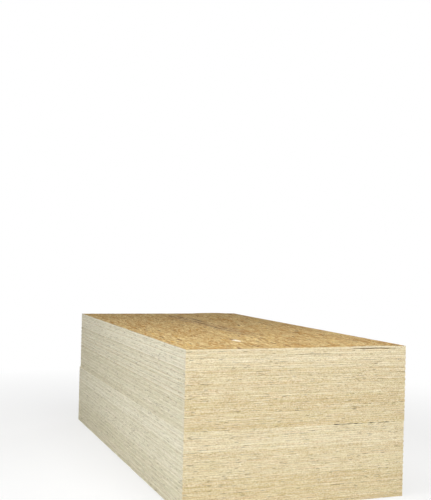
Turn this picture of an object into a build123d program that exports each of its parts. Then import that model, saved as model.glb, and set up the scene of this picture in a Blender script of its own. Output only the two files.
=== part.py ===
"""A stack of oriented strand board: two packs of panels, with one loose panel on top.

The length runs along X, the width along Y and the height along Z.
The origin is the middle of the underside. Lengths are in millimetres, angles in degrees.
"""

import os
from math import sin

from build123d import *

# One panel, sawn from a pressed mat of strands: four feet by eight, seven sixteenths thick
panel_length = 2438.4
panel_width = 1219.2
panel_thickness = 11.1
arris_break = 0.6

# The packs, as the mill counts them. The strands' high spots keep each panel off the one below
panels_per_pack = 35
bearing_gap = 0.15

# How far the upper pack was set down out of line with the lower one
pack_shift_x = 1.2
pack_shift_y = 4.0
pack_turn = -0.14

# The most that a panel has slid in its pack, each way, and the step in radians from one to the next
slide_x = 1.5
slide_y = 1.1
slide_step_x = 2.4
slide_step_y = 3.7

# The loose panel bows up off the pack in a low ridge along its length, near one long edge
ridge_rise = 4.5
ridge_start_share = 0.66
ridge_top_share = 0.84

panel_pitch = panel_thickness + bearing_gap
pack_height = panels_per_pack * panel_pitch


def panel_place(level, base, side):
    """Where a panel lies in its pack: side is -1 in the lower pack and +1 in the upper one."""
    x = side * (pack_shift_x / 2 + slide_x * sin(level * slide_step_x))
    y = side * (pack_shift_y / 2 + slide_y * sin(level * slide_step_y))
    return Location((x, y, base + level * panel_pitch), (0, 0, side * pack_turn / 2))


def arrises(sheet):
    """The edges where the sawn sides of a sheet meet its two faces."""
    sawn_sides = sheet.faces().filter_by(Axis.X) + sheet.faces().filter_by(Axis.Y)
    return sawn_sides.edges().filter_by(Axis.Z, reverse=True)


# A flat panel, with its sharp arrises knocked off
with BuildPart() as flat_panel:
    Box(panel_length, panel_width, panel_thickness, align=(Align.CENTER, Align.CENTER, Align.MIN))
    chamfer(arrises(flat_panel), arris_break)

# A bowed panel: its section runs flat from one long edge, then over the ridge to the other
with BuildPart() as bowed_panel:
    with BuildSketch(Plane.YZ.offset(-panel_length / 2)):
        with BuildLine():
            long_edge = panel_width / 2
            ridge_start = ridge_start_share * panel_width - long_edge
            ridge_top = ridge_top_share * panel_width - long_edge
            for height in (0, panel_thickness):
                ridge_points = [
                    (ridge_start, height),
                    ((ridge_start + ridge_top) / 2, height + ridge_rise / 2),
                    (ridge_top, height + ridge_rise),
                    ((ridge_top + long_edge) / 2, height + ridge_rise / 2),
                    (long_edge, height),
                ]
                section_line = Line((-long_edge, height), ridge_points[0])
                for start, end in zip(ridge_points, ridge_points[1:]):
                    section_line = TangentArc(start, end, tangent=section_line % 1)
            for side in (-long_edge, long_edge):
                Line((side, 0), (side, panel_thickness))
        make_face()
    extrude(amount=panel_length)
    chamfer(arrises(bowed_panel), arris_break)

# The lower pack lies on the floor
with BuildPart() as lower_pack:
    with Locations(*[panel_place(level, 0, -1) for level in range(panels_per_pack)]):
        add(flat_panel.part)

# The upper pack has one panel fewer, because its last one is the loose panel
with BuildPart() as upper_pack:
    with Locations(*[panel_place(level, pack_height, 1) for level in range(panels_per_pack - 1)]):
        add(flat_panel.part)

# The loose panel lies where the last panel of the upper pack was
with BuildPart() as loose_panel:
    with Locations(panel_place(panels_per_pack - 1, pack_height, 1)):
        add(bowed_panel.part)

lower_pack.part.label = "lower_pack"
upper_pack.part.label = "upper_pack"
loose_panel.part.label = "loose_panel"

os.makedirs("parts", exist_ok=True)
for piece in (lower_pack, upper_pack, loose_panel):
    export_step(piece.part, f"parts/{piece.part.label}.step")
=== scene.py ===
"""Looks of the board stack: the sawn sides of its sheets, and the pressed strands of the faces that show.

Lengths are in metres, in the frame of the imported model: length along X, width along Y, height along Z.
"""

from collections import namedtuple
from math import cos, radians, sin

import bpy
import numpy as np
from mathutils import Matrix, Vector


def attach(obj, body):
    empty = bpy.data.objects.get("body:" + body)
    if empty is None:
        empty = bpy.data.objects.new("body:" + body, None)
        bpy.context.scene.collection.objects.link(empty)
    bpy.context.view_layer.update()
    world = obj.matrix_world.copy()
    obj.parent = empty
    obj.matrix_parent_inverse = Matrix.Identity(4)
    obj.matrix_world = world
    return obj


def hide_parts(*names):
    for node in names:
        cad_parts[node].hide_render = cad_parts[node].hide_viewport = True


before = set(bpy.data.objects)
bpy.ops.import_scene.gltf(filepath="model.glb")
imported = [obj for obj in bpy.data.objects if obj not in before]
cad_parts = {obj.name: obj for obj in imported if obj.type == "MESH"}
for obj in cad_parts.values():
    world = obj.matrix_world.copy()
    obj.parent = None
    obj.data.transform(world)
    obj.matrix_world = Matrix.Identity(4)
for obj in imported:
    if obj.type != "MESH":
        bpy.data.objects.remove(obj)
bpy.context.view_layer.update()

# The lower pack: sheets of oriented strand board, pressed from wood strands and lying on each other.
# The saw leaves their sides flat and tears small bits out of the arrises, and no two sheets are quite
# alike in colour. Nothing holds them but their weight.

sheet_thickness = 0.0111
bearing_gap = 0.00015
sheet_pitch = sheet_thickness + bearing_gap
strand_relief = 0.00045
arris_worn = 0.00045
arris_torn = 0.0022
torn_share = 0.16
bruise_height = 0.0024
bruise_depth = 0.012
bruise_share = 0.42
saw_wander = 0.00012
long_side_stations = 165
short_end_stations = 80
station_steps = (0.4, 1.6)
torn_stretch_stations = 9
worn_shares = (0.5, 1.3)
middle_ring_shares = (0.4, 0.6)
pack_seed = 21

Sheet = namedtuple("Sheet", "base thickness corners")
# A bruise is on the lower or the upper arris, 0 or 1, of the sheet at a level, along a stretch of one side
Bruise = namedtuple("Bruise", "level arris side start_share end_share")


def packed_sheets(node):
    """The sheets of a node, lowest first: base height, thickness, and corners in turn round the plan."""
    points = np.array([vertex.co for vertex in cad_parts[node].data.vertices])
    base = points[:, 2].min()
    top_level = round((points[:, 2].max() - base - sheet_thickness) / sheet_pitch)
    level = np.floor((points[:, 2] - base + bearing_gap / 2) / sheet_pitch).astype(int).clip(0, top_level)
    corner_ways = np.array([(-1, -1), (1, -1), (1, 1), (-1, 1)])
    sheets = []
    for i in range(top_level + 1):
        plan = points[level == i, :2]
        corners = np.array([plan[np.argmax(plan @ way)] for way in corner_ways])
        sheets.append(Sheet(base + i * sheet_pitch, sheet_thickness, corners))
    return sheets


def uneven_shares(rng, count):
    """Shares of a side, from 0 and without 1, at uneven steps: about one for each strand that was cut."""
    steps = rng.uniform(*station_steps, count)
    return np.append(0.0, np.cumsum(steps)[:-1] / steps.sum())


def torn_arris(rng, count):
    """How far an arris is broken away at each station: a little, and more in the stretches that tore."""
    stretches = rng.random(count // torn_stretch_stations + 2)
    spots = np.arange(count) / torn_stretch_stations
    # Cubed, so that most stretches are smooth and a few are rough
    roughness = np.interp(spots, np.arange(len(stretches)), stretches) ** 3
    mean_roughness = 1 / 4
    worn = rng.uniform(*worn_shares, count) * arris_worn
    torn = rng.uniform(arris_worn, arris_torn, count)
    return np.where(rng.random(count) < torn_share * roughness / mean_roughness, torn, worn)


# Stations run round a sheet's plan: along one long side, across an end, back, and across the other end
stations = (long_side_stations, short_end_stations, long_side_stations, short_end_stations)
ring_count = sum(stations)
ring_start = np.cumsum((0, *stations[:-1]))
ring_side = np.repeat(np.arange(4), stations)
ring_height_shares = np.array([0.0, 0.05, 0.5, 0.95, 1.0])


def flat(y):
    """The rise of a sheet that lies flat."""
    return np.zeros_like(y)


def broken_back(torn):
    """How far back from the side a broken arris reaches: as far as it is high, and further in a bruise."""
    return np.where(torn < bruise_height, torn, bruise_depth)


def sheet_rings(rng, sheet, rise, bruises):
    """The points of a sheet in five rings: lower arris, sawn side with its middle, and upper arris.

    Also how high the two arrises are broken at each station.
    """
    across = uneven_shares(rng, short_end_stations)
    back_across = np.append(0.0, (1 - across[1:])[::-1])
    shares = np.concatenate((uneven_shares(rng, long_side_stations), across,
                             uneven_shares(rng, long_side_stations), back_across))
    ways = np.roll(sheet.corners, -1, axis=0) - sheet.corners
    inward = np.stack((-ways[:, 1], ways[:, 0]), 1) / np.linalg.norm(ways, axis=1)[:, None]
    outline = sheet.corners[ring_side] + shares[:, None] * ways[ring_side]
    inset_way = inward[ring_side]
    inset_way[ring_start] += np.roll(inward, 1, axis=0)
    under, over = torn = [torn_arris(rng, ring_count) for _ in range(2)]
    for bruise in bruises:
        struck = (ring_side == bruise.side) & (bruise.start_share < shares) & (shares < bruise.end_share)
        torn[bruise.arris][struck & (rng.random(ring_count) < bruise_share)] = bruise_height
    wander = rng.uniform(0, saw_wander, ring_count)
    middle = rng.uniform(*middle_ring_shares, ring_count) * sheet.thickness
    nothing = np.zeros(ring_count)
    insets = (broken_back(under), nothing, wander, nothing, broken_back(over))
    heights = (nothing, under, middle, sheet.thickness - over, nothing + sheet.thickness)
    rings = []
    for inset, height in zip(insets, heights):
        plan = outline + inset_way * inset[:, None]
        rings.append(np.c_[plan, sheet.base + height + rise(plan[:, 1])])
    return np.concatenate(rings), torn


def sheet_faces():
    """The faces of one sheet: quads round its sawn sides, then its two flat faces in strips end to end."""
    station = np.arange(ring_count)
    following = np.roll(station, -1)
    sawn = []
    for low in ring_count * np.arange(len(ring_height_shares) - 1):
        high = low + ring_count
        sawn += np.stack((low + station, low + following, high + following, high + station), 1).tolist()
    strips = []
    for low, way in ((0, -1), (ring_count * (len(ring_height_shares) - 1), 1)):
        near, right, far, left = np.split(low + station, ring_start[1:])
        left_end = [near[0], *left[::-1]]
        right_end = [*right, far[0]]
        near_strip = [*near, right_end[0], right_end[1], left_end[1]]
        far_strip = [left_end[-2], right_end[-2], *far, left_end[-1]]
        between = [[left_end[k], right_end[k], right_end[k + 1], left_end[k + 1]]
                   for k in range(1, short_end_stations - 1)]
        strips += [[int(i) for i in strip[::way]] for strip in (near_strip, far_strip, *between)]
    return sawn, strips


def add_numbers(mesh, name, numbers):
    """Stores one number for each face, which a material can read by name."""
    mesh.attributes.new(name, "FLOAT", "FACE").data.foreach_set("value", np.asarray(numbers, np.float32))


def add_places(mesh, name, places):
    """Stores a flat place for each face corner, as a map that a material or a bake can read by name."""
    mesh.uv_layers.new(name=name).uv.foreach_set("vector", np.asarray(places, np.float32).ravel())


def add_piece(name, points, faces):
    """A new mesh object in the scene, at the origin of the frame."""
    mesh = bpy.data.meshes.new(name)
    mesh.from_pydata(points, [], faces)
    piece = bpy.data.objects.new(name, mesh)
    bpy.context.scene.collection.objects.link(piece)
    return piece


# The map of a pile: a band for each long side, one for both ends, and a thin one for the flat faces.
# In a band of sides each sheet is a line as long as the band.
side_bands = np.array((0, 2, 1, 2))
side_lefts = np.array((0.0, 0.0, 0.0, 0.5))
side_widths = np.array((1.0, 0.5, 1.0, 0.5))
side_band_share = 0.31
face_band_share = 0.05


def pile_map(sheet_points, strips, level, levels):
    """Where the face corners of one sheet lie on the map of its pile."""
    step = side_widths[ring_side] / np.array(stations)[ring_side]
    start = side_lefts[ring_side] + (np.arange(ring_count) - ring_start[ring_side]) * step
    end = start + step
    places = []
    for height_shares in zip(ring_height_shares, ring_height_shares[1:]):
        low, high = ((side_bands[ring_side] + (level + height) / levels) * side_band_share
                     for height in height_shares)
        places.append(np.stack((start, low, end, low, end, high, start, high), 1).reshape(-1, 2))
    plan = sheet_points[np.concatenate(strips), :2]
    face_places = (plan - plan.min(0)) / np.ptp(plan, axis=0)
    places.append(face_places * (1, face_band_share) + (0, 1 - face_band_share))
    return np.concatenate(places)


lot_size = 12
lots_before_top = 0.25
palest_sheet = 0.06
lot_step = 0.3
lot_fade = 0.19


def press_lot_warmth(sheets_above):
    """How warm the colour of a sheet is, by the sheets over it in its pack.

    Each lot from the press is warmer than the one over it, and pales towards its own bottom.
    """
    lot, share = divmod(sheets_above / lot_size + lots_before_top, 1)
    return palest_sheet + lot_step * lot + lot_fade * (1 - share)


def sheet_pile(name, sheets, seed, rise=flat, sheets_over_pile=0, bruises=()):
    """Closed sheets with sawn sides and torn arrises, joined as one piece."""
    rng = np.random.default_rng(seed)
    sawn, strips = sheet_faces()
    points, faces, places, tones, warmths, broken = [], [], [], [], [], []
    for level, sheet in enumerate(sheets):
        first = level * ring_count * len(ring_height_shares)
        own_bruises = [bruise for bruise in bruises if bruise.level == level]
        rings, torn = sheet_rings(rng, sheet, rise, own_bruises)
        points.append(rings)
        faces += [[first + i for i in face] for face in sawn + strips]
        places.append(pile_map(rings, strips, level, len(sheets)))
        tones.append(rng.random())
        warmths.append(press_lot_warmth(len(sheets) - 1 - level + sheets_over_pile))
        under, over = (np.maximum(height, np.roll(height, -1)) for height in torn)
        broken += [under, np.zeros(2 * ring_count), over, np.zeros(len(strips))]
    piece = add_piece(name, np.concatenate(points), faces)
    face_count = len(sawn) + len(strips)
    on_face = np.repeat((0, 1), (len(sawn), len(strips)))
    on_end = np.append(np.tile(ring_side % 2, len(ring_height_shares) - 1), np.zeros(len(strips)))
    add_numbers(piece.data, "sheet_seed", np.repeat(tones, face_count))
    add_numbers(piece.data, "sheet_warmth", np.repeat(warmths, face_count))
    add_numbers(piece.data, "turned_sheet", np.repeat(np.arange(len(sheets)) % 2, face_count))
    add_numbers(piece.data, "broken_arris", np.concatenate(broken))
    add_numbers(piece.data, "end_grain", np.tile(on_end, len(sheets)))
    add_numbers(piece.data, "flat_face", np.tile(on_face, len(sheets)))
    add_places(piece.data, "OFBake", np.concatenate(places))
    return piece


def colour(red, green, blue):
    """A colour given as it shows on a screen, from 0 to 255, as the linear colour that a shader takes."""
    shown = np.array((red, green, blue)) / 255
    linear = np.where(shown < 0.04045, shown / 12.92, ((shown + 0.055) / 1.055) ** 2.4)
    return (*linear, 1.0)


def fill_sockets(tree, node, inputs):
    """Links each named input of a node to a socket, or sets it to a plain value."""
    for name, value in inputs.items():
        if isinstance(value, bpy.types.NodeSocket):
            tree.links.new(value, node.inputs[name])
        else:
            node.inputs[name].default_value = value


def add_node(tree, kind, inputs, **settings):
    """A shader node with its settings and inputs."""
    node = tree.nodes.new(f"ShaderNode{kind}")
    for name, value in settings.items():
        setattr(node, name, value)
    fill_sockets(tree, node, inputs)
    return node


def reckon(tree, operation, *terms):
    """The result of one step of arithmetic on sockets and numbers."""
    return add_node(tree, "Math", dict(enumerate(terms)), operation=operation).outputs[0]


def place(tree, x, y, z=0.0):
    """A place made of three numbers."""
    return add_node(tree, "CombineXYZ", {0: x, 1: y, 2: z}).outputs[0]


def spread(tree, value, low, high, to_low=0.0, to_high=1.0):
    """A value carried from one span to another, and held at its ends."""
    spans = {"From Min": low, "From Max": high, "To Min": to_low, "To Max": to_high}
    return add_node(tree, "MapRange", {"Value": value, **spans}).outputs[0]


def mingle(tree, share, first, second):
    """Two colours mixed by a share of the second."""
    return add_node(tree, "Mix", {0: share, 6: first, 7: second}, data_type="RGBA").outputs[2]


Stain = namedtuple("Stain", "tint share")


def stained(tree, ground, mask, stain):
    """A colour with a stain's tint over it, as strong as the stain's share where the mask is 1."""
    return mingle(tree, reckon(tree, "MULTIPLY", mask, stain.share), ground, stain.tint)


def off_whole(tree, value):
    """How far a value lies from the nearest whole number."""
    return reckon(tree, "PINGPONG", value, 0.5)


def stored(tree, name):
    """The number that a mesh stores under a name."""
    return add_node(tree, "Attribute", {}, attribute_name=name).outputs["Fac"]


seed_step = 57.0


def clouds(tree, along, across, seed, along_a_metre, across_a_metre, detail=2.0):
    """Soft clouds drawn out along one way, with so many to the metre each way, and others for each seed."""
    spot = place(tree, reckon(tree, "MULTIPLY", along, along_a_metre),
                 reckon(tree, "MULTIPLY", across, across_a_metre), reckon(tree, "MULTIPLY", seed, seed_step))
    return add_node(tree, "TexNoise", {"Vector": spot, "Scale": 1.0, "Detail": detail}).outputs["Fac"]


def weigh_up(tree, *parts):
    """The sum of values that lie about one half, each less that half and times its weight."""
    total = 0.0
    for value, weight in parts:
        total = reckon(tree, "MULTIPLY_ADD", reckon(tree, "SUBTRACT", value, 0.5), weight, total)
    return total


def new_group(name, inputs, outputs):
    """An empty node group with named numbers in and out, and its inner sockets."""
    group = bpy.data.node_groups.new(name, "ShaderNodeTree")
    for socket in inputs:
        group.interface.new_socket(socket, in_out="INPUT", socket_type="NodeSocketFloat")
    for socket in outputs:
        group.interface.new_socket(socket, in_out="OUTPUT", socket_type="NodeSocketFloat")
    return group, group.nodes.new("NodeGroupInput").outputs, group.nodes.new("NodeGroupOutput").inputs


def use_group(tree, group, inputs):
    """A node group placed in a material, with its inputs linked or set."""
    node = tree.nodes.new("ShaderNodeGroup")
    node.node_tree = group
    fill_sockets(tree, node, inputs)
    return node.outputs


# Clouds are given by how many lie along a metre, and how many across it
fibre_clouds = (35.0, 900.0)
band_clouds = (6.0, 170.0)
speck_clouds = (140.0, 260.0)
speck_span = (0.68, 0.76)


def wood_fibre_group():
    """Wood along its grain: fine fibres, soft bands of early and late wood, and specks of bark and pitch."""
    group, given, result = new_group("wood fibre", ("Along", "Across", "Seed"), ("Fibre", "Band", "Speck"))
    lie = (given["Along"], given["Across"], given["Seed"])
    speck = clouds(group, *lie, *speck_clouds, detail=1.0)
    group.links.new(clouds(group, *lie, *fibre_clouds, detail=3.0), result["Fibre"])
    group.links.new(clouds(group, *lie, *band_clouds), result["Band"])
    group.links.new(spread(group, speck, *speck_span), result["Speck"])
    return group


wood_fibre = wood_fibre_group()

strand_thickness = 0.0009
cut_strand_run = 0.055
end_grain_run = 0.0085
core_share = 0.46
strand_wave = 0.0018
waves_along, waves_up = 13.0, 60.0
wave_step = 90.0
row_step = 37.0
line_half_share = 0.22
void_share = 0.035
void_fade_along = (0.05, 0.3)
void_fade_up = (0.08, 0.25)
core_gap_run = 0.03
core_gap_share = 0.035
core_gap_half_share = 0.17
core_gap_levels = (0.3, 0.7)
core_gap_fade = (0.08, 0.3)
core_gap_step = 410.0


def cut_strands(tree, along, up, seed, end_grain):
    """What the saw shows of the strands: a shade for each, the dark line between two, and small voids."""
    wave_place = place(tree, reckon(tree, "MULTIPLY", along, waves_along),
                       reckon(tree, "MULTIPLY", seed, wave_step), reckon(tree, "MULTIPLY", up, waves_up))
    wave = add_node(tree, "TexNoise", {"Vector": wave_place, "Scale": 1.0, "Detail": 2.0}).outputs["Fac"]
    waved_up = reckon(tree, "MULTIPLY_ADD", wave, strand_wave, up)
    row_place = reckon(tree, "DIVIDE", waved_up, strand_thickness)
    row = reckon(tree, "FLOOR", row_place)
    row_random = add_node(tree, "TexWhiteNoise", {"Vector": place(tree, row, seed)},
                          noise_dimensions="2D").outputs["Value"]
    # The outer strands lie along the sheet and the core's across it, so each side shows both kinds of cut
    height_share = reckon(tree, "FRACT", reckon(tree, "DIVIDE", up, sheet_pitch))
    off_middle = reckon(tree, "ABSOLUTE", reckon(tree, "SUBTRACT", height_share, 0.5))
    in_core = reckon(tree, "LESS_THAN", off_middle, core_share / 2)
    cut_across = reckon(tree, "ABSOLUTE", reckon(tree, "SUBTRACT", end_grain, in_core))
    run = spread(tree, cut_across, 0.0, 1.0, cut_strand_run, end_grain_run)
    cell_place = reckon(tree, "MULTIPLY_ADD", row_random, row_step, reckon(tree, "DIVIDE", along, run))
    cell = reckon(tree, "FLOOR", cell_place)
    cell_noise = add_node(tree, "TexWhiteNoise", {"Vector": place(tree, cell, row, seed)})
    shade = cell_noise.outputs["Value"]
    cell_lot = add_node(tree, "SeparateColor", {"Color": cell_noise.outputs["Color"]}).outputs
    off_line = off_whole(tree, row_place)
    near_line = spread(tree, off_line, 0.0, line_half_share, 1.0, 0.0)
    line = reckon(tree, "MULTIPLY", near_line, reckon(tree, "POWER", cell_lot["Green"], 2.0))
    inside = reckon(tree, "MULTIPLY", spread(tree, off_whole(tree, cell_place), *void_fade_along),
                    spread(tree, off_line, *void_fade_up))
    void = reckon(tree, "MULTIPLY", inside, reckon(tree, "GREATER_THAN", cell_lot["Blue"], 1 - void_share))
    # Here and there a wider gap is left in the core
    gap_place = reckon(tree, "MULTIPLY_ADD", seed, core_gap_step,
                       reckon(tree, "DIVIDE", along, core_gap_run))
    gap_lot_place = place(tree, reckon(tree, "FLOOR", gap_place), seed)
    gap_noise = add_node(tree, "TexWhiteNoise", {"Vector": gap_lot_place}, noise_dimensions="2D")
    gap_lot = add_node(tree, "SeparateColor", {"Color": gap_noise.outputs["Color"]}).outputs
    gap_level = spread(tree, gap_lot["Green"], 0.0, 1.0, *core_gap_levels)
    off_level = reckon(tree, "ABSOLUTE", reckon(tree, "SUBTRACT", height_share, gap_level))
    in_gap = reckon(tree, "MULTIPLY", spread(tree, off_whole(tree, gap_place), *core_gap_fade),
                    spread(tree, off_level, core_gap_half_share / 2, core_gap_half_share, 1.0, 0.0))
    gap = reckon(tree, "MULTIPLY", in_gap, reckon(tree, "LESS_THAN", gap_lot["Blue"], core_gap_share))
    return shade, line, reckon(tree, "MAXIMUM", void, gap), off_middle


# The colour at the joints between sheets is painted shade of the gaps, with some dirt.
SideLook = namedtuple("SideLook", "pale_sheet warm_sheet reddish greenish dark_wood strand_line joint_dirt "
                      "sheet_weight turned_weight patch_weight joint_share speck_share")
long_side_look = SideLook(
    pale_sheet=colour(232, 227, 206), warm_sheet=colour(213, 206, 178),
    reddish=colour(224, 212, 192), greenish=colour(212, 212, 182),
    dark_wood=colour(170, 158, 122), strand_line=colour(136, 124, 98), joint_dirt=colour(138, 128, 102),
    sheet_weight=0.06, turned_weight=0.11, patch_weight=0.65, joint_share=0.18, speck_share=0.85)
end_look = SideLook(
    pale_sheet=colour(241, 229, 193), warm_sheet=colour(223, 204, 155),
    reddish=colour(238, 211, 172), greenish=colour(223, 214, 162),
    dark_wood=colour(176, 146, 94), strand_line=colour(128, 100, 62), joint_dirt=colour(112, 90, 58),
    sheet_weight=0.04, turned_weight=0.05, patch_weight=2.0, joint_share=0.27, speck_share=0.66)


def look_of_side(tree, end_grain):
    """The look of the side that a face lies on: that of the long sides, or that of the ends."""
    look = []
    for on_long_side, on_end in zip(long_side_look, end_look):
        if isinstance(on_end, tuple):
            look.append(mingle(tree, end_grain, on_long_side, on_end))
        else:
            look.append(spread(tree, end_grain, 0.0, 1.0, on_long_side, on_end))
    return SideLook(*look)


# A span is where an effect sets in, a share is how strong it gets, and a weight is its part in a sum
warmth_weight = 0.08
hue_clouds = (7.0, 45.0)
hue_reach = 0.25
hue_share = 0.42
# What makes the wood darker or paler
streak_clouds = (20.0, 190.0)
streak_weight = 0.45
layer_clouds = (4.0, 70.0)
layer_weight = 0.25
patch_clouds = (300.0, 260.0)
strand_weight = 0.6
full_darkness = 0.66
bleached_wood = colour(255, 250, 232)
# The dark lines and marks on the sawn sides
line_share = 0.7
# Painted shade of the gaps between sheets, with some dirt, broken into stretches along the joints
joint_span = (0.38, 0.46)
joint_stretch_clouds = (6.0, 40.0)
joint_stretch_span = (0.32, 0.54)
# Torn wood at broken arrises, darkened also with painted shade of the hollows and slits
torn_wood_and_shade = Stain(colour(84, 62, 38), 0.85)
# Dark bark and pitch, also used as the painted shade of voids and core gaps
bark = colour(92, 66, 38)
# The flat faces and their rims
pale_face = colour(230, 204, 152)
tan_face = colour(208, 176, 120)
face_band_span = (0.3, 0.7)
face_fibre = Stain(colour(160, 124, 76), 0.4)
face_fibre_span = (0.35, 0.75)
# Pale saw dust on the rims of the lower sheets, which is also a painted highlight on the ledge between the
# packs
saw_dust_and_highlight = Stain(colour(242, 234, 210), 0.9)
long_rim = (0.585, 0.603)
end_rim = (1.195, 1.213)
dust_and_highlight_ceiling = 0.5
# The relief and the gloss of the sawn sides
strand_step_share = 0.35
sawn_relief = 0.0004
sawn_relief_share = 0.8
sawn_roughness = (0.76, 0.9)
sawn_gloss = 0.2


def sawn_board_material():
    """Strand board as the saw leaves it: pale layered sides, and tan faces of pressed strands."""
    material = bpy.data.materials.new("sawn_strand_board")
    material.use_nodes = True
    tree = material.node_tree
    shader = tree.nodes["Principled BSDF"]
    where = add_node(tree, "SeparateXYZ", {0: add_node(tree, "TexCoord", {}).outputs["Object"]}).outputs
    seed, end_grain = stored(tree, "sheet_seed"), stored(tree, "end_grain")
    flat_face, broken = stored(tree, "flat_face"), stored(tree, "broken_arris")
    along = add_node(tree, "Mix", {0: end_grain, 2: where["X"], 3: where["Y"]}).outputs[0]
    up = where["Z"]
    lie = (along, up, seed)
    shade, line, void, off_middle = cut_strands(tree, along, up, seed, end_grain)
    look = look_of_side(tree, end_grain)

    # Some sheets are warmer in colour than others, and the ends are yellower than the long sides
    warmth = reckon(tree, "ADD", stored(tree, "sheet_warmth"), weigh_up(tree, (seed, warmth_weight)))
    board = mingle(tree, warmth, look.pale_sheet, look.warm_sheet)
    hue = clouds(tree, *lie, *hue_clouds)
    board = mingle(tree, spread(tree, hue, 0.5, 0.5 + hue_reach, 0.0, hue_share), board, look.reddish)
    board = mingle(tree, spread(tree, hue, 0.5, 0.5 - hue_reach, 0.0, hue_share), board, look.greenish)

    # How dark the wood is: the sheet's own shade, cloudy streaks along it, small patches, and each strand.
    # Every second sheet is turned over, and shows its other sawn side.
    streak = clouds(tree, *lie, *streak_clouds, detail=3.0)
    patch = clouds(tree, *lie, *patch_clouds)
    layer = clouds(tree, *lie, *layer_clouds)
    darkness = weigh_up(tree, (seed, look.sheet_weight), (stored(tree, "turned_sheet"), look.turned_weight),
                        (streak, streak_weight), (layer, layer_weight), (patch, look.patch_weight),
                        (shade, strand_weight))
    shaded = mingle(tree, spread(tree, darkness, 0.0, full_darkness), board, look.dark_wood)
    layered = mingle(tree, spread(tree, darkness, 0.0, -full_darkness), shaded, bleached_wood)
    lined = mingle(tree, reckon(tree, "MULTIPLY", line, line_share), layered, look.strand_line)

    # The joints between sheets are darkened in stretches with painted shade of their gaps, and some dirt, so
    # they show as broken lines; the arrises are bruised in places.
    at_joint = spread(tree, off_middle, *joint_span)
    joint_stretches = spread(tree, clouds(tree, *lie, *joint_stretch_clouds), *joint_stretch_span)
    joint = reckon(tree, "MULTIPLY", reckon(tree, "MULTIPLY", at_joint, joint_stretches), look.joint_share)
    jointed = mingle(tree, joint, lined, look.joint_dirt)
    # Where an arris is torn or bruised: darker torn wood, and painted shade of the hollow it leaves
    jointed = stained(tree, jointed, spread(tree, broken, arris_torn / 2, bruise_height), torn_wood_and_shade)

    # Bark and pitch show as dark specks, and small voids and gaps in the core as painted shade in the same
    # dark colour
    wood = use_group(tree, wood_fibre, {"Along": along, "Across": up, "Seed": seed})
    speck = reckon(tree, "MULTIPLY", reckon(tree, "MAXIMUM", wood["Speck"], void), look.speck_share)
    specked = mingle(tree, speck, jointed, bark)

    # The flat faces: fibres run along the sheet
    fibre = use_group(tree, wood_fibre, {"Along": where["X"], "Across": where["Y"], "Seed": seed})
    face = mingle(tree, spread(tree, fibre["Band"], *face_band_span), pale_face, tan_face)
    face = stained(tree, face, spread(tree, fibre["Fibre"], *face_fibre_span), face_fibre)

    # Pale saw dust lies along the rims of the lower sheets, and with it a painted highlight: the ledge where
    # one pack stands out from the other is made paler, as if it caught the light.
    near_side = spread(tree, reckon(tree, "ABSOLUTE", where["Y"]), *long_rim)
    near_end = spread(tree, reckon(tree, "ABSOLUTE", where["X"]), *end_rim)
    at_rim = reckon(tree, "MAXIMUM", near_side, near_end)
    low_down = reckon(tree, "LESS_THAN", where["Z"], dust_and_highlight_ceiling)
    face = stained(tree, face, reckon(tree, "MULTIPLY", at_rim, low_down), saw_dust_and_highlight)
    tree.links.new(mingle(tree, flat_face, specked, face), shader.inputs["Base Color"])

    strand_steps = reckon(tree, "MULTIPLY", shade, strand_step_share)
    relief = reckon(tree, "SUBTRACT", strand_steps, reckon(tree, "ADD", line, void))
    bump = add_node(tree, "Bump", {"Height": relief, "Distance": sawn_relief, "Strength": sawn_relief_share})
    tree.links.new(bump.outputs["Normal"], shader.inputs["Normal"])
    tree.links.new(spread(tree, shade, 0.0, 1.0, *sawn_roughness), shader.inputs["Roughness"])
    shader.inputs["Specular IOR Level"].default_value = sawn_gloss
    return material


sawn_board = sawn_board_material()
lower_sheets = packed_sheets("lower_pack")
floor_sheet = lower_sheets[0]
lower_sheets[0] = floor_sheet._replace(base=floor_sheet.base + strand_relief,
                                       thickness=floor_sheet.thickness - strand_relief)
seam_bruise = Bruise(level=len(lower_sheets) - 1, arris=1, side=1, start_share=0.66, end_share=0.95)
lower_pack = sheet_pile("lower_pack_sheets", lower_sheets, pack_seed, bruises=[seam_bruise])
lower_pack.data.materials.append(sawn_board)
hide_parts("lower_pack")
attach(lower_pack, "root")

# The strands of the lowest sheet's underside: flakes of wood, cut thin along the grain and pressed flat
# with resin. Most lie along the sheet, a few lie askew, and the ones that hold bark or late wood are dark.

strand_runs = (0.04, 0.08, 0.15)
strand_breadth = 0.0085
strand_breadth_limits = (0.0035, 0.03)
strand_evenness = 3.0
strand_slope = 0.00035
strand_lay = 0.16
askew_share = 0.08
askew_turn = 1.5
dark_share = 0.03
dark_narrowing_share = 0.65
dark_shortening_share = 0.75
dark_lift = 0.6
lowest_strand_share = 0.15
outline_shrinkage = (0.8, 1.0)
narrowest_top_share = 0.2
end_slant = 0.7
grain_field = 3.0
underside_strands = 6200

Strand = namedtuple("Strand", "middle run breadth turn tone dark")
strand_outline_shares = np.array([(-1, -0.6), (0.2, -1), (1, -0.5), (1, 0.8), (-1, 0.9)])


def scattered_strands(rng, count, size):
    """Strands strewn over a sheet of a given size."""
    strands = []
    for middle in rng.uniform(0, size, (count, 2)):
        dark = rng.random() < dark_share
        breadth = rng.gamma(strand_evenness, strand_breadth / strand_evenness)
        breadth = np.clip(breadth, *strand_breadth_limits)
        run = rng.triangular(*strand_runs)
        if dark:
            breadth *= dark_narrowing_share
            run *= dark_shortening_share
        askew = rng.random() < askew_share
        turn = rng.uniform(-askew_turn, askew_turn) if askew else rng.normal(0, strand_lay)
        strands.append(Strand(middle, run, breadth, turn, rng.random(), dark))
    # The deepest come first, and few of the dark ones lie deep
    strands.sort(key=lambda strand: rng.random() + dark_lift * strand.dark)
    return strands


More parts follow.
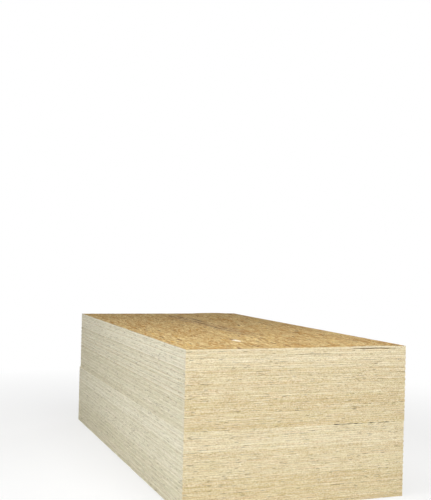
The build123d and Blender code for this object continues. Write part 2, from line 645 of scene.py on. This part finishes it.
def trimmed(outline, size):
    """An outline cut off at the sides of a sheet, which runs from the origin to a size."""
    for axis, way, limit in ((0, 1, 0.0), (1, 1, 0.0), (0, -1, -size[0]), (1, -1, -size[1])):
        inside = way * outline[:, axis] - limit
        kept = []
        for k in range(len(outline)):
            if (inside[k - 1] < 0) != (inside[k] < 0):
                share = inside[k - 1] / (inside[k - 1] - inside[k])
                kept.append(outline[k - 1] + share * (outline[k] - outline[k - 1]))
            if inside[k] >= 0:
                kept.append(outline[k])
        outline = np.array(kept).reshape(-1, 2)
    return outline


def sheet_axes(sheet):
    """A sheet's first corner, the directions of its length and width, and its size."""
    ways = np.stack((sheet.corners[1] - sheet.corners[0], sheet.corners[3] - sheet.corners[0]))
    size = np.linalg.norm(ways, axis=1)
    return sheet.corners[0], ways / size[:, None], size


def strand_layer(name, sheet, strands, rng, face_height, way, rise=flat):
    """Strands pressed into a face of a sheet, the deepest first, each a thin flake with sloping sides.

    The way is 1 where the face looks up, and -1 where it looks down.
    """
    corner, axes, size = sheet_axes(sheet)
    points, plans, grains, faces, tones, darks, rims = [], [], [], [], [], [], []
    first = 0
    for order, strand in enumerate(strands):
        shape = strand_outline_shares * rng.uniform(*outline_shrinkage, strand_outline_shares.shape)
        flips = rng.choice((-1, 1), 2)
        shape = (shape * flips * (strand.run / 2, strand.breadth / 2))[::flips.prod()]
        shape[:, 0] += shape[:, 1] * rng.normal(0, end_slant)
        turn = np.array([(cos(strand.turn), sin(strand.turn)), (-sin(strand.turn), cos(strand.turn))])
        foot = trimmed(strand.middle + shape @ turn, size)
        count = len(foot)
        if count < 3:
            continue
        own = (foot - strand.middle) @ turn.T
        middle, half = (own.max(0) + own.min(0)) / 2, np.ptp(own, axis=0) / 2
        own_top = middle + (own - middle) * (1 - strand_slope / half).clip(narrowest_top_share, 1)
        top = strand.middle + own_top @ turn
        height_share = (order + 1) / len(strands)
        height = strand_relief * (lowest_strand_share + (1 - lowest_strand_share) * height_share)
        grain_start = rng.uniform(0, grain_field, 2)
        for plan, grain, lift in ((foot, own, -strand_relief / 2), (top, own_top, height)):
            spot = corner + plan @ axes
            points.append(np.c_[spot, face_height + way * lift + rise(spot[:, 1])])
            plans.append(plan / size)
            grains.append(grain + grain_start)
        ring = first + np.arange(count)
        sides = np.stack((ring, np.roll(ring, -1), np.roll(ring, -1) + count, ring + count), 1)
        flake = [ring[::-1].tolist(), *sides.tolist(), (ring + count).tolist()]
        faces += [face[::way] for face in flake]
        tones += [strand.tone] * len(flake)
        darks += [strand.dark] * len(flake)
        rims += [1] * (count + 1) + [0]
        first += 2 * count
    piece = add_piece(name, np.concatenate(points), faces)
    corners = np.concatenate(faces)
    add_numbers(piece.data, "strand_tone", tones)
    add_numbers(piece.data, "strand_dark", darks)
    add_numbers(piece.data, "strand_rim", rims)
    add_places(piece.data, "grain", np.concatenate(grains)[corners])
    add_places(piece.data, "OFBake", np.concatenate(plans)[corners])
    return piece


def tone_ramp(tree, tone, *stops):
    """A colour for each tone, from stops of tone and colour."""
    ramp = add_node(tree, "ValToRGB", {"Fac": tone})
    marks = ramp.color_ramp.elements
    for mark, (spot, shown) in zip([marks[0], marks[1], *(marks.new(1.0) for _ in stops[2:])], stops):
        mark.position = spot
        mark.color = shown
    return ramp.outputs["Color"]


# The wood of the strands
strand_tones = ((0.0, colour(180, 132, 66)), (1.0, colour(255, 240, 184)),
                (0.25, colour(220, 178, 102)), (0.6, colour(242, 208, 130)))
blotch_clouds = (2.2, 5.0)
blotch_span = (0.3, 0.7)
blotch_shift = 0.13
late_wood = Stain(colour(170, 124, 56), 0.7)
late_wood_span = (0.44, 0.64)
strand_fibre = Stain(colour(134, 94, 42), 0.65)
strand_fibre_span = (0.42, 0.72)
bleached_strand = Stain(colour(255, 249, 234), 0.85)
bleached_span = (1.0, 1.3)
bark_strand = Stain(colour(88, 60, 30), 0.92)
pitch = Stain(colour(96, 66, 36), 0.7)
# The sloping sides of the strands: a glue line, and painted shade at each strand's step
strand_edge_shade = Stain(colour(104, 72, 36), 0.8)
# The scuffed track on the top face
scuff_middle = 0.015
scuff_half_widths = (0.05, 0.09)
scuff_starts = (-1.15, -0.8)
scuff_ends = (0.25, 0.65)
scuff_haze = Stain(colour(164, 136, 112), 0.2)
smear = Stain(colour(80, 58, 36), 0.85)
smear_clouds = (2.6, 40.0)
smear_span = (0.52, 0.57)
# The relief and the gloss of the strands
band_relief_share = 0.6
fibre_relief = 0.00025
fibre_relief_share = 0.7
strand_roughness_span = (0.3, 0.7)
strand_roughness = (0.74, 0.9)
strand_gloss = 0.06


def pressed_strands_material():
    """Pressed strands: each with its own tone and grain, a faint waxy sheen, and dark edges that are partly
    glue and partly painted shade.
    """
    material = bpy.data.materials.new("pressed_strands")
    material.use_nodes = True
    tree = material.node_tree
    shader = tree.nodes["Principled BSDF"]
    where = add_node(tree, "SeparateXYZ", {0: add_node(tree, "TexCoord", {}).outputs["Object"]}).outputs
    grain_place = add_node(tree, "UVMap", {}, uv_map="grain").outputs["UV"]
    grain = add_node(tree, "SeparateXYZ", {0: grain_place}).outputs
    tone, dark, rim = (stored(tree, name) for name in ("strand_tone", "strand_dark", "strand_rim"))
    wood = use_group(tree, wood_fibre, {"Along": grain["X"], "Across": grain["Y"], "Seed": tone})

    # The tone of each strand, shifted a little over the sheet, then its late wood, fibres and specks
    blotch = clouds(tree, where["X"], where["Y"], 0.0, *blotch_clouds)
    shift = spread(tree, blotch, *blotch_span, -blotch_shift, blotch_shift)
    board = tone_ramp(tree, reckon(tree, "ADD", tone, shift), *strand_tones)
    board = stained(tree, board, spread(tree, wood["Band"], *late_wood_span), late_wood)
    board = stained(tree, board, spread(tree, wood["Fibre"], *strand_fibre_span), strand_fibre)
    board = stained(tree, board, spread(tree, tone, *bleached_span), bleached_strand)
    board = stained(tree, board, dark, bark_strand)
    board = stained(tree, board, wood["Speck"], pitch)
    # Dark strand edges: a glue line, and painted shade at each strand's step
    board = stained(tree, board, rim, strand_edge_shade)

    # A scuffed track along the middle of the top face, where something was dragged: grey, with dark smears
    off_track = reckon(tree, "ABSOLUTE", reckon(tree, "SUBTRACT", where["Y"], scuff_middle))
    track = spread(tree, off_track, *scuff_half_widths, 1.0, 0.0)
    begun = spread(tree, where["X"], *scuff_starts)
    not_ended = spread(tree, where["X"], *scuff_ends, 1.0, 0.0)
    on_top = reckon(tree, "GREATER_THAN", where["Z"], sheet_pitch)
    for limit in (begun, not_ended, on_top):
        track = reckon(tree, "MULTIPLY", track, limit)
    rubbed = spread(tree, clouds(tree, where["X"], where["Y"], 0.0, *smear_clouds), *smear_span)
    board = stained(tree, board, track, scuff_haze)
    board = stained(tree, board, reckon(tree, "MULTIPLY", track, rubbed), smear)
    tree.links.new(board, shader.inputs["Base Color"])

    relief = reckon(tree, "MULTIPLY_ADD", wood["Band"], band_relief_share, wood["Fibre"])
    bump = add_node(tree, "Bump", {"Height": relief, "Distance": fibre_relief,
                                   "Strength": fibre_relief_share})
    tree.links.new(bump.outputs["Normal"], shader.inputs["Normal"])
    roughness = spread(tree, wood["Fibre"], *strand_roughness_span, *strand_roughness)
    tree.links.new(roughness, shader.inputs["Roughness"])
    shader.inputs["Specular IOR Level"].default_value = strand_gloss
    return material


pressed_strands = pressed_strands_material()
rng = np.random.default_rng(pack_seed + 10)
floor_strands = scattered_strands(rng, underside_strands, sheet_axes(floor_sheet)[2])
underside = strand_layer("underside_strands", floor_sheet, floor_strands, rng,
                         face_height=floor_sheet.base + strand_relief, way=-1)
underside.data.materials.append(pressed_strands)
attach(underside, "root")

# The upper pack: more of the same sheets, set down on the lower pack a few millimetres out of line
# and slightly turned.

upper_sheets = packed_sheets("upper_pack")
upper_bruises = [seam_bruise._replace(level=0, arris=0),
                 Bruise(level=len(upper_sheets) - 2, arris=0, side=1, start_share=0.48, end_share=0.67)]
upper_pack = sheet_pile("upper_pack_sheets", upper_sheets, pack_seed + 1, sheets_over_pile=1,
                        bruises=upper_bruises)
upper_pack.data.materials.append(sawn_board)
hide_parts("upper_pack")
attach(upper_pack, "root")

# The loose sheet lies on the upper pack. It has taken up damp along one long edge, and bows off the
# pack there in a low ridge from end to end.


def ridge_profile(node, base):
    """The rise of a bowed sheet across its width, read from the underside of its solid."""
    points = np.array([vertex.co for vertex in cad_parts[node].data.vertices])
    across, rise = np.round(points[:, 1], 4), points[:, 2] - base
    spots = np.unique(across)
    lowest = np.array([rise[across == spot].min() for spot in spots])
    kept = lowest < sheet_thickness / 2
    return lambda y: np.interp(y, spots[kept], lowest[kept])


top_sheet = packed_sheets("loose_panel")[0]
ridge = ridge_profile("loose_panel", top_sheet.base)
loose_sheet = sheet_pile("loose_sheet", [top_sheet._replace(thickness=sheet_thickness - strand_relief)],
                         pack_seed + 2, rise=ridge)
loose_sheet.data.materials.append(sawn_board)
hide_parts("loose_panel")
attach(loose_sheet, "root")

# The strands of the loose sheet's top face, made as on the underside but strewn closer. A few broad pale
# strands lie together near the end, and strands that are dark with bark lie about them.

top_strands = 11700
pale_strands = (Strand(middle=(0.845, -0.2), run=0.11, breadth=0.026, turn=0.07, tone=1.3, dark=0),
                Strand(middle=(0.82, -0.183), run=0.085, breadth=0.018, turn=0.02, tone=1.22, dark=0),
                Strand(middle=(0.85, -0.212), run=0.075, breadth=0.014, turn=0.15, tone=1.26, dark=0))
bark_run = 0.09
bark_breadth = 0.014
bark_tone = 0.1
bark_spots = ((0.78, -0.2), (0.23, -0.44), (0.24, -0.35), (0.76, -0.49), (1.11, -0.2), (1.12, -0.03),
              (1.0, -0.05), (0.6, -0.54))
bark_strands = tuple(Strand(spot, bark_run, bark_breadth, turn=0.0, tone=bark_tone, dark=1)
                     for spot in bark_spots)

rng = np.random.default_rng(pack_seed + 11)
corner, axes, size = sheet_axes(top_sheet)
face_strands = scattered_strands(rng, top_strands, size)
for strand in pale_strands + bark_strands:
    face_strands.append(strand._replace(middle=axes @ (np.array(strand.middle) - corner)))
top_face = strand_layer("top_face_strands", top_sheet, face_strands, rng,
                        face_height=top_sheet.base + sheet_thickness - strand_relief, way=1, rise=ridge)
top_face.data.materials.append(pressed_strands)
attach(top_face, "root")

# The floor and the light: a pale studio floor, white further off, that keeps the stack's soft shadow. Wide
# soft lamps stand before the near end and the long side, over the top, and behind.

floor_half = 40.0
floor_pale = colour(244, 244, 243)
white = colour(255, 255, 255)
floor_roughness = 0.9
floor_fade = (1.6, 4.0)
floor_whiteness = (0.68, 1.0)
ambient_strength = 0.2


def seen_ray(tree):
    """1 for the rays that show the floor or the background, and 0 for those that light the stack."""
    ray = add_node(tree, "LightPath", {}).outputs
    mirrored = reckon(tree, "MAXIMUM", ray["Is Glossy Ray"], ray["Is Transmission Ray"])
    return reckon(tree, "MAXIMUM", ray["Is Camera Ray"], mirrored)


floor = add_piece("floor", [(-floor_half, -floor_half, 0), (floor_half, -floor_half, 0),
                            (floor_half, floor_half, 0), (-floor_half, floor_half, 0)], [(0, 1, 2, 3)])
floor_material = bpy.data.materials.new("studio_floor")
floor_material.use_nodes = True
tree = floor_material.node_tree
shader = tree.nodes["Principled BSDF"]
shader.inputs["Base Color"].default_value = floor_pale
shader.inputs["Roughness"].default_value = floor_roughness
floor_place = add_node(tree, "TexCoord", {}).outputs["Object"]
away = add_node(tree, "VectorMath", {0: floor_place}, operation="LENGTH").outputs["Value"]
whiteness = spread(tree, away, *floor_fade, *floor_whiteness)
glow = add_node(tree, "Emission", {"Color": white, "Strength": 1.0}).outputs[0]
mixed = add_node(tree, "MixShader", {0: reckon(tree, "MULTIPLY", seen_ray(tree), whiteness),
                                     1: shader.outputs[0], 2: glow})
tree.links.new(mixed.outputs[0], tree.nodes["Material Output"].inputs["Surface"])
floor.data.materials.append(floor_material)

world = bpy.data.worlds.new("studio")
world.use_nodes = True
bpy.context.scene.world = world
tree = world.node_tree
background = tree.nodes["Background"]
strength = spread(tree, seen_ray(tree), 0.0, 1.0, ambient_strength, 1.0)
tree.links.new(strength, background.inputs["Strength"])
background.inputs["Color"].default_value = white


def soft_lamp(name, spot, target, size, power, sheen=True):
    """A wide soft lamp that faces a target, and gives the board a sheen or not."""
    lamp = bpy.data.lights.new(name, "AREA")
    lamp.shape = "DISK"
    lamp.size = size
    lamp.energy = power
    holder = bpy.data.objects.new(name, lamp)
    holder.location = spot
    holder.visible_glossy = sheen
    holder.rotation_euler = (Vector(target) - Vector(spot)).to_track_quat("-Z", "Y").to_euler()
    bpy.context.scene.collection.objects.link(holder)


stack_middle = (0.0, 0.0, 0.4)
soft_lamp("end_lamp", spot=(5.2, 0.2, 2.8), target=stack_middle, size=3.0, power=126.0)
soft_lamp("side_lamp", spot=(1.6, -4.6, 2.3), target=(0.4, 0.0, 0.4), size=2.4, power=119.0)
soft_lamp("top_lamp", spot=(1.3, -0.25, 2.9), target=(0.65, 0.0, 0.79), size=1.6, power=29.5)
soft_lamp("back_lamp", spot=(-5.0, 4.5, 1.0), target=stack_middle, size=3.0, power=270.0, sheen=False)

# The camera stands off the near corner, a little above the stack, and has the photograph's slight roll. Its
# focal length is given in pixels of the picture.

image_height = 500
focal_pixels = 841.5
sensor_width = 36.0
camera_place = Vector((5.008, -1.8955, 1.2268))
camera_azimuth = radians(69.39)
camera_tilt = radians(0.53)
camera_roll = radians(1.34)
forward = Vector((-sin(camera_azimuth) * cos(camera_tilt),
                  cos(camera_azimuth) * cos(camera_tilt), sin(camera_tilt)))
level_right = Vector((cos(camera_azimuth), sin(camera_azimuth), 0.0))
level_up = level_right.cross(forward)
right = cos(camera_roll) * level_right + sin(camera_roll) * level_up
up = right.cross(forward)
camera_data = bpy.data.cameras.new("camera")
camera_data.sensor_width = sensor_width
camera_data.lens = focal_pixels * sensor_width / image_height
camera = bpy.data.objects.new("camera", camera_data)
turn = Matrix((right, up, -forward)).transposed()
camera.matrix_world = Matrix.Translation(camera_place) @ turn.to_4x4()
bpy.context.scene.collection.objects.link(camera)
bpy.context.scene.camera = camera
bpy.context.scene.view_settings.view_transform = "Standard"
